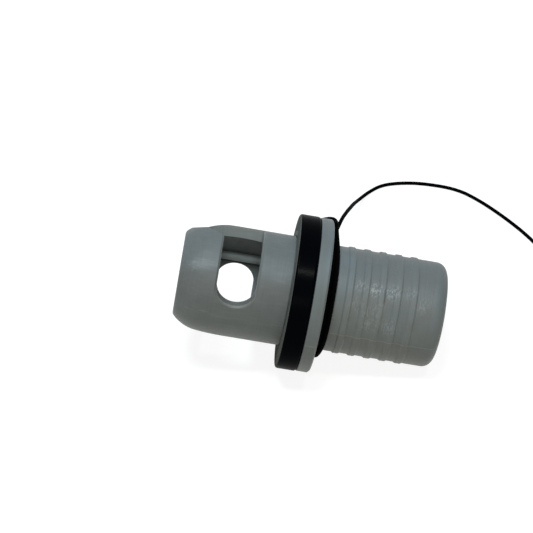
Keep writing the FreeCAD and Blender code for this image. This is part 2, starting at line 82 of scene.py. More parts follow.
# The retaining cord and its two turns round the neck. They are pressed on it: stretched along
# the axis and flattened, fully so by the end of each fade and not at all outside its start.
CORD_DIAMETER = 0.82
CORD_GAP = 0.05
TURN_GAP = 0.15
CORD_CLOSE = CORD_DIAMETER / 2 + CORD_GAP
NEAR_PLANE = FLANGE_BACK + CORD_CLOSE
PLANE_GAP = CORD_DIAMETER + TURN_GAP
OUTER_PLANE = NEAR_PLANE + PLANE_GAP
NECK_RADIUS = SPIGOT_RADIUS + CORD_CLOSE
NECK_STEP = 15.0
NECK_STRETCH = 1.28
NECK_PRESS = 0.88
PRESSED_HALVES = 2.9
STRETCH_FADE = (NECK_RADIUS + 3.0, NECK_RADIUS + 0.8)
PRESS_FADE = (NECK_RADIUS + 1.2, NECK_RADIUS + 0.5)

# The outer turn's sag on to the other: how far it swings, and the angles between which it comes
# and goes
SAG_SWING = 65.0
SAG_BEGINS = (-42.0, -87.0)
SAG_ENDS = (-165.0, -115.0)

# The turns' climb from the neck up the flange's back, and the hook over the flange's rim. The
# outer turn lags behind the other, and leans on it more and more.
CLIMB_ANGLE = 52.0
CLIMB_STRAIGHT = 3.2
CLIMB_STAND_OFF = 0.4
STRAIGHT_STAND_OFF = 0.24
OUTER_LAG = 8.0
OUTER_MIDDLE = 0.45
OUTER_LEAN = (0.15, 0.55, 0.9)
HOOK_REACH = 3.1
HOOK_RADIUS = GASKET_RADIUS + CORD_CLOSE + 0.45
RIM_RADIUS = GASKET_RADIUS + CORD_CLOSE + 0.12
HOOK_NEAR_ANGLE = 113.0
HOOK_FAR_ANGLE = 124.0

# The knots, the free cord's route to its coil, in the frame's own axes, and the coil
KNOT_ANGLE = 140.0
KNOT_RADIUS = 1.05
KNOT_STEPS = 48
KNOT_DEPTH = 1.6
KNOT_WIDTH = 3.0
END_KNOT_ANGLE = -55.0
END_KNOT_REACH = 0.9
CORD_ROUTE = [
    (4.65, 20.2, 16.2),
    (5.65, 24.6, 16.2),
    (6.6, 30.4, 13.7),
    (6.95, 36.6, 9.8),
    (7.2, 43.2, 5.5),
    (8.1, 49.6, 1.7),
    (10.1, 54.0, 0.41),
    (13.0, 56.6, 0.41),
    (17.2, 57.5, 0.41),
    (22.8, 57.3, 0.41),
    (30.6, 55.1, 0.41),
    (35.8, 50.7, 0.41),
    (41.1, 44.8, 0.41),
    (45.9, 38.5, 0.41),
    (49.0, 33.2, 0.41),
    (50.0, 28.4, 0.41),
]
COIL_RADIUS = 4.3
COIL_LIFT = 0.3
COIL_TURNS = 4
COIL_STEPS = 16

# The cord's braid
BRAID_PITCH = 2.6
BRAID_STRANDS = 4
BRAID_STEPS = 12
STRAND_SIDES = 6
STRAND_WIDTH = 0.5
STRAND_THICKNESS = 0.13
STRAND_WAVE = 0.035
CORE_SIDES = 8
CORE_RADIUS = 0.345

# Zones of the moulding and the gasket: the low end, the high end and how soft both are
NOSE = (-1.0, GASKET_FACE, 0.2)
WINDOW = (5.5, 17.0, 0.3)
SEALING_FACE = (GASKET_FACE - 1, GASKET_FACE + 0.06, 0.1)
BEHIND_NOSE = (GASKET_FACE, SPIGOT_END + 1, 0.1)
LOWER_HALF = (PARTING_ANGLE - 180, PARTING_ANGLE, 0.6)
PARTING_LINE = (PARTING_ANGLE - 0.35, PARTING_ANGLE + 0.35, 0.25)
SPIGOT = (FLANGE_BACK + 0.5, SPIGOT_END - 3.0, 1.0)
RIDGES = (RIDGE_START + 1.0, RIDGE_START + 4.8 * RIDGE_PITCH, 0.1)

# Where the grey is tinted, as zones of a point's measures, and the tint that it takes there. Most
# of these tints are painted light and shade; the dark mark on a ridge is a real mark.
GREY_TONES_AND_PAINTED_LIGHT = {
    # Painted shade: the facing middle of the nose is darker and warmer
    "middle of the nose": (
        {"along": NOSE, "angle": (-24.0, 4.0, 18.0)},
        (0.93, 0.89, 0.88),
    ),
    # Painted warm light bounced up from the table on the lower side
    "side near the table": (
        {"angle": (-175.0, 2.0, 14.0)},
        (1.035, 1.0, 0.96),
    ),
    # Painted cool light from above on the top of the neck
    "top of the neck": (
        {"along": (FLANGE_BACK, FLANGE_BACK + 4.0, 2.5), "angle": (25.0, 100.0, 25.0)},
        (1.03, 1.09, 1.12),
    ),
    # Painted highlight on the flat edge of each window
    "flat edge of a window": (
        {"along": WINDOW, "away": (-0.15, 0.15, 0.05)},
        (1.22, 1.16, 1.09),
    ),
    # Painted highlight on the bevel round each window's outer rim
    "outer rim of a window": (
        {"along": (7.6, 16.4, 0.1), "radius": (10.9, 11.15, 0.04)},
        (1.2, 1.15, 1.08),
    ),
    # Painted light on the ribs in the bore, seen through the windows
    "ribs of the bore": (
        {"along": WINDOW, "radius": (7.0, 8.65, 0.15)},
        (2.0, 2.0, 2.0),
    ),
    # Painted shade in the hollow under a rib
    "hollow under a rib": (
        {"along": WINDOW, "radius": (8.75, 9.3, 0.1), "angle": (146.0, 153.0, 2.5)},
        (0.2, 0.2, 0.2),
    ),
    # Painted shadow in the gap between the gasket and the flange
    "seam between gasket and flange": (
        {
            "along": (FLANGE_FRONT - 0.2, FLANGE_FRONT + 0.1, 0.06),
            "radius": (GASKET_RADIUS - 1, 20.0, 0.1),
        },
        (0.08, 0.09, 0.11),
    ),
    # Painted highlight on the crests of the ridges
    "crests of the ridges": (
        {"along": SPIGOT, "radius": (SPIGOT_RADIUS + 0.12, SPIGOT_RADIUS + 1, 0.1)},
        (1.05, 1.05, 1.05),
    ),
    # Painted shade in the corner at the rear foot of each ridge
    "rear foot of each ridge": (
        {"along": RIDGES, "past_ridge_start": (1.45, 1.95, 0.2)},
        (0.965, 0.965, 0.965),
    ),
    "dark mark on a ridge's rear flank": (
        {"along": (41.1, 41.4, 0.15), "upper": (1.0, 3.4, 0.5), "away": (-12.0, -9.0, 0.5)},
        (0.76, 0.72, 0.7),
    ),
}
LOWER_HALF_TINT = (1.0, 0.985, 0.965)
PARTING_TINT = (1.4, 1.38, 1.32)
HALVES_ON_NOSE = 0.25
DARK_FLECK_TINT = (0.94, 0.94, 0.94)
NOSE_TINT = (1.035, 1.04, 1.035)
SPIGOT_TINT = (1.045, 1.05, 1.06)
STAIN_TINT = (1.03, 0.99, 0.95)

# Pale marks, pale towards their middle. On the nose: painted highlight patches where the light
# catches it, and scratches. On the spigot: painted glints along the same line of light, and scuffs.
# Each has its spot as along, away and upper, then its length for each width, how far it reaches
# and how strong it is.
PALE_WEAR_AND_HIGHLIGHT_GREY = (0.37, 0.4, 0.4)
NOSE_HIGHLIGHT_AND_SCRATCH_CORE = 0.1
NOSE_HIGHLIGHTS_AND_SCRATCHES = [
    # Painted highlight patches where the light catches the nose
    ((3.7, -10.3, 2.4), 3.0, 1.6, 0.5),
    ((19.8, -11.1, 2.2), 1.5, 1.8, 0.16),
    # Scratches
    ((6.1, -8.9, -6.7), 4.0, 0.3, 0.3),
    ((9.6, -8.6, -7.4), 8.0, 0.3, 0.16),
]
SCUFF_AND_GLINT_CORE = 0.3
SCUFFS_AND_GLINTS = [
    # Painted glints along the line where the light catches the spigot
    ((36.2, -10.4, 3.6), 1.0, 1.5, 0.45),
    ((39.3, -10.5, 3.1), 1.0, 2.0, 0.85),
    ((42.8, -10.5, 3.1), 1.0, 2.2, 0.7),
    ((46.5, -10.4, 3.6), 1.0, 1.8, 0.35),
    # Scuffs where hoses have worn the spigot
    ((35.9, -10.9, -0.4), 1.0, 2.2, 0.26),
    ((40.3, -11.0, -0.4), 1.0, 2.2, 0.26),
    ((39.2, -10.8, -1.9), 1.0, 2.6, 0.32),
    ((39.2, -10.0, -4.4), 1.0, 2.4, 0.3),
    ((43.2, -10.2, -3.9), 1.0, 2.6, 0.32),
    ((49.2, -10.8, 1.4), 1.0, 2.2, 0.28),
]

# Dust and painted light on the gasket: its zones, how much it covers there, and its colour
GASKET_DUST_AND_PAINTED_LIGHT = {
    # Dust with a painted reflection on the face that seals
    "sealing face": (
        {"along": SEALING_FACE},
        1.0,
        (0.16, 0.17, 0.16),
    ),
    # Painted light from above on the upper half of the face
    "upper half of the face": (
        {"along": SEALING_FACE, "angle": (50.0, 140.0, 40.0)},
        1.0,
        (0.21, 0.225, 0.215),
    ),
    "pale mark on the face": (
        {"along": SEALING_FACE, "away": (-2.0, 5.0, 1.5), "upper": (11.7, 12.3, 0.3)},
        0.75,
        (0.42, 0.44, 0.42),
    ),
}

# Camera. It looks at the view's centre, and its distance is in metres.
IMAGE_SIZE = 533
FOCAL_PIXELS = 1842.0
SENSOR_WIDTH = 36.0
CAMERA_DISTANCE = 0.3776
CAMERA_ELEVATION = math.radians(40.0)
CAMERA_YAW = math.radians(-6.929)
CAMERA_ROLL = math.radians(4.36)
VIEW_CENTRE = TIP + PART_AXES @ Vector((17.45, 0, 4.16)) * MM

# Lights: name, place and width in metres, power in watts and colour. The room round them is dim,
# and shows white.
LIGHTS = [
    ("overhead", (-0.05, -0.14, 0.715), 0.26, 2.85, (0.9, 1.0, 1.08)),
    ("spark", (0.179, -0.225, 0.674), 0.06, 0.68, (1.0, 0.98, 0.93)),
    ("front", (0.03, -0.62, 0.36), 0.2, 0.36, (1.0, 0.94, 0.84)),
]
ROOM_COLOUR = (0.95, 0.98, 1.0, 1)
ROOM_STRENGTH = 0.09
WHITE = (1, 1, 1, 1)

# The floor: its reach in metres, the colour that lights the part, and what the camera sees
FLOOR_REACH = 1.5
FLOOR_COLOUR = (0.72, 0.66, 0.54, 1)
FLOOR_SHADOW_COLOUR = (0.31, 0.31, 0.31, 1)
FLOOR_GLOW = 0.89


def in_part(along, radius, angle):
    """A point about the part's axis."""
    turned = math.radians(angle)
    local = Vector((along, -radius * math.cos(turned), radius * math.sin(turned)))
    return TIP + PART_AXES @ local * MM


def around(angle):
    """The direction of a rising angle about the part's axis."""
    return (in_part(0, 1, angle + 90) - TIP).normalized()


def progress(value, start, end):
    """How far a value has come from a start to an end, from 0 to 1."""
    return max(0.0, min(1.0, (value - start) / (end - start)))


def link_object(name, data):
    made = bpy.data.objects.new(name, data)
    bpy.context.collection.objects.link(made)
    return made


def add_camera():
    data = bpy.data.cameras.new("camera")
    data.sensor_width = SENSOR_WIDTH
    data.lens = SENSOR_WIDTH * FOCAL_PIXELS / IMAGE_SIZE
    data.clip_start = 0.01
    data.clip_end = 5.0
    ahead = Vector((
        math.sin(CAMERA_YAW) * math.cos(CAMERA_ELEVATION),
        math.cos(CAMERA_YAW) * math.cos(CAMERA_ELEVATION),
        -math.sin(CAMERA_ELEVATION),
    ))
    right = Vector((math.cos(CAMERA_YAW), -math.sin(CAMERA_YAW), 0))
    up = right.cross(ahead)
    turned_right = right * math.cos(CAMERA_ROLL) - up * math.sin(CAMERA_ROLL)
    turned_up = right * math.sin(CAMERA_ROLL) + up * math.cos(CAMERA_ROLL)
    camera = link_object("camera", data)
    turn = Matrix((turned_right, turned_up, -ahead)).transposed().to_4x4()
    camera.matrix_world = Matrix.Translation(VIEW_CENTRE - ahead * CAMERA_DISTANCE) @ turn
    bpy.context.scene.camera = camera


def add_area_light(name, place, width, power, colour):
    """A round light that shines on the frame's origin."""
    data = bpy.data.lights.new(name, "AREA")
    data.shape = "DISK"
    data.size = width
    data.energy = power
    data.color = colour
    light = link_object(name, data)
    light.location = place
    light.rotation_mode = "QUATERNION"
    light.rotation_quaternion = (-Vector(place)).to_track_quat("-Z", "Y")


def new_material(name):
    material = bpy.data.materials.new(name)
    material.use_nodes = True
    material.node_tree.nodes.clear()
    return material, material.node_tree.nodes, material.node_tree.links


def new_shader(nodes, kind, values):
    """A shader node, with values for its sockets by their names."""
    shader = nodes.new(kind)
    for socket, value in values.items():
        shader.inputs[socket].default_value = value
    return shader


def seen_directly(nodes, links):
    """1 for rays that show the background: from the camera, in gloss or through glass."""
    path = nodes.new("ShaderNodeLightPath")
    seen = path.outputs["Is Camera Ray"]
    for ray in ("Is Glossy Ray", "Is Transmission Ray"):
        either = nodes.new("ShaderNodeMath")
        either.operation = "MAXIMUM"
        links.new(seen, either.inputs[0])
        links.new(path.outputs[ray], either.inputs[1])
        seen = either.outputs[0]
    return seen


def light_and_show(nodes, links, lighting, shown, output):
    """Joins two shaders to the output: the one that lights the part, and the one that is seen."""
    either = nodes.new("ShaderNodeMixShader")
    links.new(seen_directly(nodes, links), either.inputs[0])
    links.new(lighting.outputs[0], either.inputs[1])
    links.new(shown.outputs[0], either.inputs[2])
    out = nodes.new(output)
    links.new(either.outputs[0], out.inputs[0])


def add_world():
    """A dim room that shows white."""
    world = bpy.data.worlds.new("studio")
    bpy.context.scene.world = world
    world.use_nodes = True
    nodes, links = world.node_tree.nodes, world.node_tree.links
    nodes.clear()
    background = "ShaderNodeBackground"
    room = new_shader(nodes, background, {"Color": ROOM_COLOUR, "Strength": ROOM_STRENGTH})
    white = new_shader(nodes, background, {"Color": WHITE, "Strength": 1.0})
    light_and_show(nodes, links, room, white, "ShaderNodeOutputWorld")


def add_floor():
    """A plain pale table that shows white and keeps the part's shadow."""
    mesh = bpy.data.meshes.new("floor")
    square = ((-1, -1), (1, -1), (1, 1), (-1, 1))
    corners = [(x * FLOOR_REACH, y * FLOOR_REACH, 0) for x, y in square]
    mesh.from_pydata(corners, [], [(0, 1, 2, 3)])
    floor = link_object("floor", mesh)
    material, nodes, links = new_material("floor")
    lit = new_shader(nodes, "ShaderNodeBsdfDiffuse", {"Color": FLOOR_COLOUR})
    shadowed = new_shader(nodes, "ShaderNodeBsdfDiffuse", {"Color": FLOOR_SHADOW_COLOUR})
    glow = new_shader(nodes, "ShaderNodeEmission", {"Strength": FLOOR_GLOW})
    shown = nodes.new("ShaderNodeAddShader")
    links.new(shadowed.outputs[0], shown.inputs[0])
    links.new(glow.outputs[0], shown.inputs[1])
    light_and_show(nodes, links, lit, shown, "ShaderNodeOutputMaterial")
    mesh.materials.append(material)


class Finish:
    """A material with one principled shader. Its methods add the nodes that feed it, and take
    numbers or other nodes' outputs."""

    def __init__(self, name, values):
        self.material, self.nodes, self.links = new_material(name)
        self.shader = new_shader(self.nodes, "ShaderNodeBsdfPrincipled", values)
        out = self.nodes.new("ShaderNodeOutputMaterial")
        self.links.new(self.shader.outputs[0], out.inputs[0])
        self.place = self.part_place()
        self.measures = {}
        self.colour = None

    def feed(self, socket, output):
        self.links.new(output, self.shader.inputs[socket])

    def maths(self, operation, *values):
        """The output of a sum."""
        node = self.nodes.new("ShaderNodeMath")
        node.operation = operation
        for socket, value in zip(node.inputs, values):
            if isinstance(value, (int, float)):
                socket.default_value = value
            else:
                self.links.new(value, socket)
        return node.outputs[0]

    def times(self, first, *others):
        """The product of all values."""
        product = first
        for other in others:
            product = self.maths("MULTIPLY", product, other)
        return product

    def part_way(self, share, start, end):
        """The number that lies a share of the way from the start to the end."""
        return self.maths("MULTIPLY_ADD", share, end - start, start)

    def vector_maths(self, operation, place, other):
        """The outputs of a vector sum of a place and a fixed vector."""
        node = self.nodes.new("ShaderNodeVectorMath")
        node.operation = operation
        self.links.new(place, node.inputs[0])
        node.inputs[1].default_value = other
        return node.outputs

    def part_place(self):
        """Where a point of the surface is in the part's own axes, in millimetres."""
        place = self.nodes.new("ShaderNodeTexCoord").outputs["Object"]
        from_tip = self.vector_maths("SUBTRACT", place, TIP)["Vector"]
        joined = self.nodes.new("ShaderNodeCombineXYZ")
        for socket, axis in zip(joined.inputs, (ALONG, AWAY, UPPER)):
            reach = self.vector_maths("DOT_PRODUCT", from_tip, axis / MM)["Value"]
            self.links.new(reach, socket)
        return joined.outputs[0]

    def scaled_place(self, factors):
        """The place with each axis scaled by itself."""
        return self.vector_maths("MULTIPLY", self.place, factors)["Vector"]

    def measure(self):
        """Works out a point's measures for the zones: its place on each axis of the part, its
        distance from the long axis and the angle about it."""
        parts = self.nodes.new("ShaderNodeSeparateXYZ")
        self.links.new(self.place, parts.inputs[0])
        along, away, upper = parts.outputs
        square = self.maths("ADD", self.times(away, away), self.times(upper, upper))
        turned = self.maths("ARCTAN2", upper, self.times(away, -1.0))
        self.measures = {
            "along": along,
            "away": away,
            "upper": upper,
            "radius": self.maths("SQRT", square),
            "angle": self.times(turned, 180 / math.pi),
        }

    def eased(self, value, start, end):
        """0 up to the start, 1 from the end on, and a soft change between them. The end may be
        less than the start."""
        node = self.nodes.new("ShaderNodeMapRange")
        node.interpolation_type = "SMOOTHSTEP"
        node.inputs["From Min"].default_value = start
        node.inputs["From Max"].default_value = end
        self.links.new(value, node.inputs["Value"])
        return node.outputs[0]

    def zone(self, ranges):
        """1 where each named measure is in its range, with soft ends, and 0 elsewhere."""
        ends = []
        for name, (low, high, soft) in ranges.items():
            value = self.measures[name]
            ends += [self.eased(value, low - soft, low), self.eased(value, high + soft, high)]
        return self.times(*ends)

    def marked(self, marks, core):
        """How strongly a point is marked, by the strongest of the marks that reach it."""
        most = 0.0
        for (along, away, upper), stretch, reach, strength in marks:
            place = self.scaled_place((1 / stretch, 1.0, 1.0))
            spot = (along / stretch, away, upper)
            distance = self.vector_maths("DISTANCE", place, spot)["Value"]
            near = self.eased(distance, core + reach, core)
            most = self.maths("MAXIMUM", self.times(near, strength), most)
        return most

    def noise(self, scale, detail, roughness=0.5, factors=None):
        """Noise over the part. Factors make it finer or coarser on each axis."""
        node = self.nodes.new("ShaderNodeTexNoise")
        node.inputs["Scale"].default_value = scale
        node.inputs["Detail"].default_value = detail
        node.inputs["Roughness"].default_value = roughness
        place = self.scaled_place(factors) if factors else self.place
        self.links.new(place, node.inputs["Vector"])
        return node.outputs["Fac"]

    def bump(self, height, depth, strength, below=None):
        node = self.nodes.new("ShaderNodeBump")
        node.inputs["Distance"].default_value = depth * MM
        node.inputs["Strength"].default_value = strength
        self.links.new(height, node.inputs["Height"])
        if below is not None:
            self.links.new(below, node.inputs["Normal"])
        return node.outputs["Normal"]

    def colour_by(self, factor, stops):
        """Starts the colour, from (position, colour) stops along a factor."""
        node = self.nodes.new("ShaderNodeValToRGB")
        elements = node.color_ramp.elements
        for element, (position, colour) in zip(elements, stops):
            element.position = position
            element.color = (*colour, 1)
        for position, colour in stops[2:]:
            elements.new(position).color = (*colour, 1)
        self.links.new(factor, node.inputs[0])
        self.colour = node.outputs["Color"]

    def blend(self, blend_type, share, colour):
        """Mixes a colour in. The node's colour sockets come after those for other values."""
        mix = self.nodes.new("ShaderNodeMix")
        mix.data_type = "RGBA"
        mix.blend_type = blend_type
        first_colour = mix.inputs[6]
        second_colour = mix.inputs[7]
        self.links.new(share, mix.inputs["Factor"])
        self.links.new(self.colour, first_colour)
        second_colour.default_value = (*colour, 1)
        self.colour = mix.outputs[2]

    def tint(self, share, tint):
        """Multiplies the colour by a tint, by a share."""
        self.blend("MULTIPLY", share, tint)

    def cover(self, share, colour):
        """Covers the colour with another, by a share."""
        self.blend("MIX", share, colour)

    def finished(self, normal):
        """The material, with its colour and its relief fed to the shader."""
        self.feed("Base Color", self.colour)
        self.feed("Normal", normal)
        return self.material


def show_mould_halves(finish):
    """A warmer lower half and a pale parting line, both fainter on the nose."""
    clear = finish.part_way(finish.zone({"along": BEHIND_NOSE}), start=HALVES_ON_NOSE, end=1.0)
    finish.tint(finish.times(finish.zone({"angle": LOWER_HALF}), clear), LOWER_HALF_TINT)
    finish.tint(finish.times(finish.zone({"angle": PARTING_LINE}), clear), PARTING_TINT)


def show_tones_and_painted_light(finish):
    """The tints of the grey's zones, most of them painted light and shade. Those on the ridges
    repeat with them.
    """
    past_start = finish.maths("SUBTRACT", finish.measures["along"], RIDGE_START)
    finish.measures["past_ridge_start"] = finish.maths("FLOORED_MODULO", past_start, RIDGE_PITCH)
    for ranges, tint in GREY_TONES_AND_PAINTED_LIGHT.values():
        finish.tint(finish.zone(ranges), tint)


def show_nose_wear_and_highlights(finish):
    """Darker streaks from the moulding's flow, and painted highlight patches and scratches among
    them.
    """
    nose = finish.zone({"along": NOSE})
    flow = finish.noise(scale=1.3, detail=4.0, factors=(0.22, 1.6, 1.6))
    streaks = finish.times(finish.eased(flow, start=0.38, end=0.5), nose)
    finish.tint(streaks, DARK_FLECK_TINT)
    # Pale marks: painted highlight patches and scratches
    marks = finish.marked(NOSE_HIGHLIGHTS_AND_SCRATCHES, NOSE_HIGHLIGHT_AND_SCRATCH_CORE)
    streaky = finish.part_way(streaks, start=1.0, end=0.5)
    finish.cover(finish.times(marks, streaky), PALE_WEAR_AND_HIGHLIGHT_GREY)
    finish.tint(nose, NOSE_TINT)


def show_spigot_wear_and_glints(finish):
    """Dark specks; speckled pale marks, which are scuffs where hoses have worn the spigot and
    painted glints along the line where the light catches it; and faint warm stains.
    """
    spigot = finish.zone({"along": SPIGOT})
    specks = finish.eased(finish.noise(scale=2.6, detail=3.0), start=0.34, end=0.5)
    finish.tint(finish.times(specks, spigot), DARK_FLECK_TINT)
    finish.tint(spigot, SPIGOT_TINT)
    speckle_noise = finish.noise(scale=1.9, detail=4.0, roughness=0.7, factors=(1.5, 0.8, 0.8))
    speckle = finish.eased(speckle_noise, start=0.48, end=0.56)
    # Speckled pale marks: scuffs and painted glints
    finish.cover(finish.times(finish.marked(SCUFFS_AND_GLINTS, SCUFF_AND_GLINT_CORE), speckle), PALE_WEAR_AND_HIGHLIGHT_GREY)
    blotches = finish.noise(scale=0.3, detail=3.0, factors=(0.5, 1.0, 1.0))
    stain = finish.eased(blotches, start=0.38, end=0.5)
    finish.tint(finish.times(stain, spigot), STAIN_TINT)


def grey_moulding():
    """Satin grey plastic, with faint turning marks and mottling, the tones of its zones with
    painted light and shade among them, and wear and painted highlights on the nose and the spigot."""
    roughness = 0.5
    finish = Finish("grey_moulding", {"Roughness": roughness, "Specular IOR Level": 0.35})
    finish.measure()
    rings = finish.noise(scale=2.6, detail=6.0, roughness=0.62, factors=(1.0, 0.03, 0.03))
    ring_share = 0.45
    mottling = finish.times(finish.noise(scale=0.35, detail=4.0), 1 - ring_share)
    shade = finish.maths("ADD", finish.times(rings, ring_share), mottling)
    finish.colour_by(shade, [
        (0.3, (0.144, 0.166, 0.168)),
        (0.5, (0.158, 0.184, 0.187)),
        (0.7, (0.172, 0.201, 0.204)),
    ])
    show_mould_halves(finish)
    show_tones_and_painted_light(finish)
    show_nose_wear_and_highlights(finish)
    show_spigot_wear_and_glints(finish)
    grain = finish.noise(scale=7.0, detail=3.0)
    swing = 0.08
    uneven = finish.part_way(grain, start=roughness - swing, end=roughness + swing)
    finish.feed("Roughness", uneven)
    grain_relief = finish.bump(grain, depth=0.03, strength=0.6)
    return finish.finished(finish.bump(rings, depth=0.12, strength=0.5, below=grain_relief))


def gasket_rubber():
    """Black rubber: smooth round its outside, and matt with dust on the face that seals, where a
    painted reflection lightens it and painted light brightens its upper half.
    """
    smooth = 0.3
    matt = 0.95
    finish = Finish("gasket_rubber", {
        "Roughness": smooth,
        "Specular IOR Level": 0.005,
        "Coat Weight": 0.0034,
        "Coat IOR": 3.0,
        "Coat Roughness": 0.2,
    })
    finish.measure()
    finish.colour_by(finish.noise(scale=1.8, detail=6.0, roughness=0.7), [
        (0.35, (0.0001, 0.0004, 0.0011)),
        (0.62, (0.0002, 0.0007, 0.0016)),
        (0.85, (0.0007, 0.0014, 0.0023)),
    ])
    face = finish.zone({"along": SEALING_FACE})
    finish.feed("Roughness", finish.part_way(face, start=smooth, end=matt))
    for ranges, strength, colour in GASKET_DUST_AND_PAINTED_LIGHT.values():
        finish.cover(finish.times(finish.zone(ranges), strength), colour)
    streaks = finish.noise(scale=1.5, detail=3.0, factors=(0.5, 1.6, 1.6))
    finish.feed("Coat Normal", finish.bump(streaks, depth=0.02, strength=0.6))
    grain = finish.noise(scale=9.0, detail=4.0)
    return finish.finished(finish.bump(grain, depth=0.03, strength=0.5))


def black_cord():
    """Black polyester yarn: fine fibres in each strand of the braid."""
    finish = Finish("black_cord", {"Roughness": 0.5, "Specular IOR Level": 0.008})
    fibres = finish.noise(scale=11.0, detail=5.0, roughness=0.7, factors=(1.0, 1.0, 3.0))
    finish.colour_by(fibres, [
        (0.4, (0.0003, 0.0004, 0.0006)),
        (0.75, (0.0040, 0.0046, 0.0056)),
    ])
    return finish.finished(finish.bump(fibres, depth=0.05, strength=0.7))


def tie_band():
    """The coil's band: matt black plastic."""
    finish = Finish("tie_band", {"Roughness": 0.55, "Specular IOR Level": 0.25})
    marks = finish.noise(scale=4.0, detail=3.0)
    finish.colour_by(marks, [
        (0.3, (0.006, 0.006, 0.006)),
        (0.7, (0.011, 0.011, 0.011)),
    ])
    return finish.finished(finish.bump(marks, depth=0.03, strength=0.6))


def finish_node(name, material):
    mesh = bpy.data.objects[name].data
    mesh.materials.clear()
    mesh.materials.append(material)


def new_piece(name, vertices, faces, material):
    """A mesh piece that rides on the part."""
    mesh = bpy.data.meshes.new(name)
    mesh.from_pydata(vertices, [], faces)
    mesh.polygons.foreach_set("use_smooth", [True] * len(mesh.polygons))
    mesh.materials.append(material)
    piece = link_object(name, mesh)
    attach(piece, "root")
    return piece


def line_length(line):
    return sum((b - a).length for a, b in zip(line, line[1:]))


def spline_line(name, points):
    """Points along the smooth line that a cord's control points give."""
    curve = bpy.data.curves.new(name, "CURVE")
    curve.dimensions = "3D"
    curve.resolution_u = 12
    spline = curve.splines.new("NURBS")
    spline.points.add(len(points) - 1)
    for control, point in zip(spline.points, points):
        control.co = (*point, 1)
    spline.order_u = 3
    spline.use_endpoint_u = True
    holder = link_object(name, curve)
    bpy.context.view_layer.update()
    mesh = bpy.data.meshes.new_from_object(holder)
    line = [vertex.co.copy() for vertex in mesh.vertices]
    bpy.data.objects.remove(holder)
    bpy.data.curves.remove(curve)
    bpy.data.meshes.remove(mesh)
    return line


def even_steps(line, step):
    """The same line again, with points a step apart."""
    total = line_length(line)
    count = max(2, round(total / step))
    gap = total / count
    rounding = 1e-12
    points = [line[0].copy()]
    need = gap
    for a, b in zip(line, line[1:]):
        length = (b - a).length
        gone = 0.0
        while length - gone >= need - rounding and len(points) < count:
            gone += need
            points.append(a.lerp(b, gone / length))
            need = gap
        need -= length - gone
    points.append(line[-1].copy())
    return points


def cross_axes(points):
    """Two axes across the line at each point, with no twist from one to the next."""
    ahead = (points[1] - points[0]).normalized()
    side = ahead.orthogonal().normalized()
    axes = []
    for index in range(len(points)):
        before = points[max(index - 1, 0)]
        after = points[min(index + 1, len(points) - 1)]
        ahead = (after - before).normalized()
        side = (side - ahead * side.dot(ahead)).normalized()
        axes.append((side, ahead.cross(side)))
    return axes


def add_tube(vertices, faces, rings):
    """Adds the skin that joins rings of points, with an end face on each side."""
    count = len(rings[0])
    first = len(vertices)
    for ring in rings:
        vertices.extend(ring)
    for row in range(len(rings) - 1):
        for index in range(count):
            here = first + row * count + index
            beside = first + row * count + (index + 1) % count
            faces.append((here, beside, beside + count, here + count))
    faces.append(tuple(first + index for index in reversed(range(count))))
    last = first + (len(rings) - 1) * count
    faces.append(tuple(last + index for index in range(count)))


def strand_rings(points, axes, way, strand):
    """Sections of one strand, which winds one way and goes over and under the others."""
    mean = CORD_DIAMETER / 2 - STRAND_WAVE - STRAND_THICKNESS / 2
    rings = []
    for index, (point, (side, rise)) in enumerate(zip(points, axes)):
        phase = 2 * math.pi * index / BRAID_STEPS
        angle = way * phase + 2 * math.pi * strand / BRAID_STRANDS
        radius = mean + way * STRAND_WAVE * math.cos(BRAID_STRANDS * phase)
        out = side * math.cos(angle) + rise * math.sin(angle)
        across = rise * math.cos(angle) - side * math.sin(angle)
        centre = point + out * radius * MM
        ring = []
        for corner in range(STRAND_SIDES):
            turn = 2 * math.pi * corner / STRAND_SIDES * way
            wide = across * math.cos(turn) * STRAND_WIDTH / 2
            thick = out * math.sin(turn) * STRAND_THICKNESS / 2
            ring.append(centre + (wide + thick) * MM)
        rings.append(ring)
    return rings


def core_rings(points, axes):
    """Sections of the plain core that fills the braid."""
    turns = [2 * math.pi * corner / CORE_SIDES for corner in range(CORE_SIDES)]
    rings = []
    for point, (side, rise) in zip(points, axes):
        outs = [side * math.cos(turn) + rise * math.sin(turn) for turn in turns]
        rings.append([point + out * CORE_RADIUS * MM for out in outs])
    return rings


def braid(line):
    """Vertices and faces of a round braid along a line: strands that wind both ways on a core."""
    points = even_steps(line, BRAID_PITCH / BRAID_STEPS * MM)
    axes = cross_axes(points)
    vertices, faces = [], []
    for way in (1, -1):
        for strand in range(BRAID_STRANDS):
            add_tube(vertices, faces, strand_rings(points, axes, way, strand))
    add_tube(vertices, faces, core_rings(points, axes))
    return vertices, faces


def knot_centre():
    return in_part(NEAR_PLANE, HOOK_RADIUS, KNOT_ANGLE)


def coil_centre():
    """The coil lies beside the end of the cord's free run, on its left-hand side."""
    last, before = Vector(CORD_ROUTE[-1]), Vector(CORD_ROUTE[-2])
    ahead = (last - before).normalized()
    beside = Vector((-ahead.y, ahead.x, 0))
    widest_turn = COIL_RADIUS + CORD_DIAMETER * 1.5
    spot = last + beside * (widest_turn + CORD_GAP)
    return Vector((spot.x, spot.y, 0)) * MM


def end_knot_centre():
    out = COIL_RADIUS + CORD_DIAMETER + KNOT_RADIUS + CORD_GAP
    turned = math.radians(END_KNOT_ANGLE)
    place = Vector((out * math.cos(turned), out * math.sin(turned), KNOT_RADIUS))
    return coil_centre() + place * MM


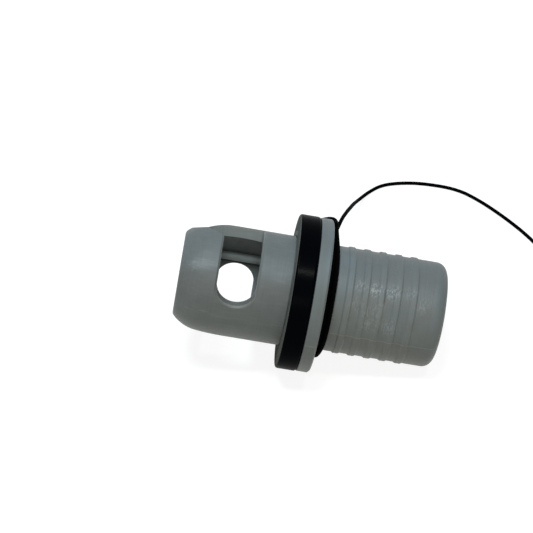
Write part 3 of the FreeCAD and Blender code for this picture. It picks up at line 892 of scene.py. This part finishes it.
def coil_points():
    """Control points of the coil. Its turns lie beside and on each other, and change places in
    one quarter of the way round, turning about the middle of their section."""
    half = CORD_DIAMETER / 2
    slot_radius = half * math.sqrt(2)
    low = COIL_LIFT + half
    middle = low + half
    quarter = COIL_STEPS // 4
    reach = 1 / math.cos(math.pi / COIL_STEPS)
    points = []
    for step in range(1, COIL_TURNS * COIL_STEPS + quarter + 1):
        turn, place = divmod(step, COIL_STEPS)
        change = min(place / quarter, 1.0)
        if turn == 0:
            out = COIL_RADIUS + half + CORD_DIAMETER * (1 - change)
            up = low
        elif turn == COIL_TURNS:
            out = COIL_RADIUS + half + CORD_DIAMETER * change
            up = middle + half
        else:
            swing = math.radians(-45 - 90 * (turn - 1 + change))
            out = COIL_RADIUS + slot_radius * math.cos(swing)
            up = middle + slot_radius * math.sin(swing)
        angle = math.pi + 2 * math.pi * step / COIL_STEPS
        flat = Vector((math.cos(angle), math.sin(angle), 0)) * out * reach
        points.append(coil_centre() + Vector((flat.x, flat.y, up)) * MM)
    return points


def loose_points():
    """Control points of the whole free cord, from the knot to the stopper knot."""
    route = [Vector(point) * MM for point in CORD_ROUTE]
    out = (route[0] - knot_centre()).normalized()
    start = knot_centre() + out * KNOT_RADIUS * MM
    turns = coil_points()
    knot = end_knot_centre()
    end = knot + (turns[-1] - knot).normalized() * KNOT_RADIUS * END_KNOT_REACH * MM
    return [start] + route + turns + [end]


def sag_share(angle):
    """How far the outer turn has sagged on to the other, under the neck."""
    share = min(progress(angle, *SAG_BEGINS), progress(angle, *SAG_ENDS))
    return share * share * (3 - 2 * share)


def neck_ring(plane, hooked, climb, landing):
    """Control points of a turn round the neck, from its climb back to where it lands."""
    outside = NECK_RADIUS / math.cos(math.radians(NECK_STEP / 2))
    ring = []
    for number in range(int((climb + 360 - landing) / NECK_STEP)):
        angle = climb - NECK_STEP / 2 - NECK_STEP * number
        swung = 0.0 if hooked else math.radians(SAG_SWING) * sag_share(angle)
        along = plane - PLANE_GAP * (1 - math.cos(swung))
        ring.append(in_part(along, outside + PLANE_GAP * math.sin(swung), angle))
    return ring


def neck_turn_points(plane, hooked):
    """Control points of one turn: down from the knot, round the neck, up the flange's back and
    back to the knot. The hooked turn has slipped over the flange's rim on its way."""
    knot = knot_centre()
    swing = math.degrees(math.acos(NECK_RADIUS / HOOK_RADIUS))
    rise = math.sqrt(HOOK_RADIUS**2 - NECK_RADIUS**2)
    landing = KNOT_ANGLE + swing
    climb = CLIMB_ANGLE if hooked else CLIMB_ANGLE - OUTER_LAG
    land = in_part(plane, NECK_RADIUS, landing)
    leave = in_part(plane, NECK_RADIUS, climb)
    ring = neck_ring(plane, hooked, climb, landing)
    straight = leave + around(climb) * CLIMB_STRAIGHT * MM
    top = leave + around(climb) * rise * MM
    points = [knot, land - around(landing) * CLIMB_STRAIGHT * MM, *reversed(ring)]
    if hooked:
        near = in_part(FLANGE_BACK - HOOK_REACH, RIM_RADIUS, HOOK_NEAR_ANGLE)
        far = in_part(FLANGE_BACK - HOOK_REACH, RIM_RADIUS, HOOK_FAR_ANGLE)
        top += ALONG * CLIMB_STAND_OFF * MM
        straight += ALONG * STRAIGHT_STAND_OFF * MM
        before_top = top + (straight - top).normalized() * (near - top).length
        return points + [straight, before_top, top, near, far, knot]
    climbing = (straight, straight.lerp(top, OUTER_MIDDLE), top)
    leaning = [p - ALONG * PLANE_GAP * lean * MM for p, lean in zip(climbing, OUTER_LEAN)]
    return points + leaning + [knot]


def pressed(vertices, plane):
    """The same braid, pressed on the neck: wider along the axis, where it lies on the neck."""
    half = CORD_DIAMETER / 2 * NECK_STRETCH
    pressed_plane = FLANGE_BACK + (half if plane == NEAR_PLANE else half * PRESSED_HALVES)
    moved = []
    for vertex in vertices:
        local = PART_AXES.transposed() @ (vertex - TIP) / MM
        out = math.hypot(local.y, local.z)
        wider = pressed_plane + (local.x - plane) * NECK_STRETCH - local.x
        wider *= progress(out, *STRETCH_FADE)
        lower = (out - NECK_RADIUS) * (NECK_PRESS - 1)
        lower *= progress(out, *PRESS_FADE)
        flat = 1 + lower / out
        local = Vector((local.x + wider, local.y * flat, local.z * flat))
        moved.append(TIP + PART_AXES @ local * MM)
    return moved


def add_neck_turns(material):
    """Two turns round the neck, one of which has slipped over the flange's rim."""
    vertices, faces = [], []
    for name, plane in (("hooked_turn", NEAR_PLANE), ("outer_turn", OUTER_PLANE)):
        hooked = plane == NEAR_PLANE
        more_vertices, more_faces = braid(spline_line(name, neck_turn_points(plane, hooked)))
        shift = len(vertices)
        vertices += pressed(more_vertices, plane)
        faces += [tuple(index + shift for index in face) for face in more_faces]
    turns = new_piece("neck_turns", vertices, faces, material)
    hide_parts("neck_loop")
    return turns


def add_knot(name, centre, facing, node, material):
    """A small overhand knot, pulled tight."""
    size = (KNOT_RADIUS - CORD_DIAMETER / 2) / KNOT_WIDTH * MM
    turn = facing.to_track_quat("Z", "Y")
    line = []
    for step in range(KNOT_STEPS + 1):
        t = 2 * math.pi * step / KNOT_STEPS
        local = Vector((
            math.sin(t) + 2 * math.sin(2 * t),
            math.cos(t) - 2 * math.cos(2 * t),
            -KNOT_DEPTH * math.sin(3 * t),
        ))
        line.append(centre + turn @ local * size)
    vertices, faces = braid(line)
    knot = new_piece(name, vertices, faces, material)
    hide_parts(node)
    return knot


def add_loose_cord(material):
    """The free cord from the neck's knot, with the coil that it ends in."""
    line = spline_line("cord_line", loose_points())
    vertices, faces = braid(line)
    cord = new_piece("retaining_cord", vertices, faces, material)
    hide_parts("tether_cord", "tether_coil")


def add_parting_line(name, angle, material):
    """A thin raised line where the mould's halves met, behind the gasket."""
    body = bpy.data.objects["adapter_body"].data
    tree = BVHTree.FromPolygons([v.co for v in body.vertices], [p.vertices for p in body.polygons])
    axis_out = (in_part(0, 1, angle) - TIP).normalized()
    foot = around(angle) * PARTING_HALF_WIDTH * MM
    crest = axis_out * (PARTING_HEIGHT + PARTING_SUNK) * MM
    run = SPIGOT_END - PARTING_END_MARGIN - FLANGE_FRONT
    vertices, faces = [], []
    previous = None
    for step in range(PARTING_STEPS):
        along = FLANGE_FRONT + run * step / PARTING_STEPS
        spot = tree.ray_cast(in_part(along, OUTSIDE_RADIUS, angle), -axis_out)[0]
        radius = (spot - in_part(along, 0, angle)).length / MM if spot else 0
        if radius < PARTING_LEAST_RADIUS:
            previous = None
            continue
        base = in_part(along, radius - PARTING_SUNK, angle)
        first = len(vertices)
        vertices += [base - foot, base + crest, base + foot]
        if previous is not None:
            for side in (0, 1):
                faces.append((previous + side, previous + side + 1, first + side + 1, first + side))
        previous = first
    new_piece(name, vertices, faces, material)


bpy.context.scene.view_settings.view_transform = "Standard"
add_camera()
cord_finish = black_cord()
coil_band = tie_band()
knot_facing = (Vector(CORD_ROUTE[0]) * MM - knot_centre()).normalized()
end_facing = Vector((1, 0, 0))
neck_turns = add_neck_turns(cord_finish)
neck_knot = add_knot("neck_knot_tied", knot_centre(), knot_facing, "neck_knot", cord_finish)
end_knot = add_knot("stopper_knot", end_knot_centre(), end_facing, "end_knot", cord_finish)
finish_node("coil_tie", coil_band)
add_loose_cord(cord_finish)
add_world()
for light in LIGHTS:
    add_area_light(*light)
add_floor()
grey = grey_moulding()
finish_node("adapter_body", grey)
finish_node("gasket_ring", gasket_rubber())
add_parting_line("parting_line", PARTING_ANGLE, grey)
add_parting_line("far_parting_line", PARTING_ANGLE + 180, grey)
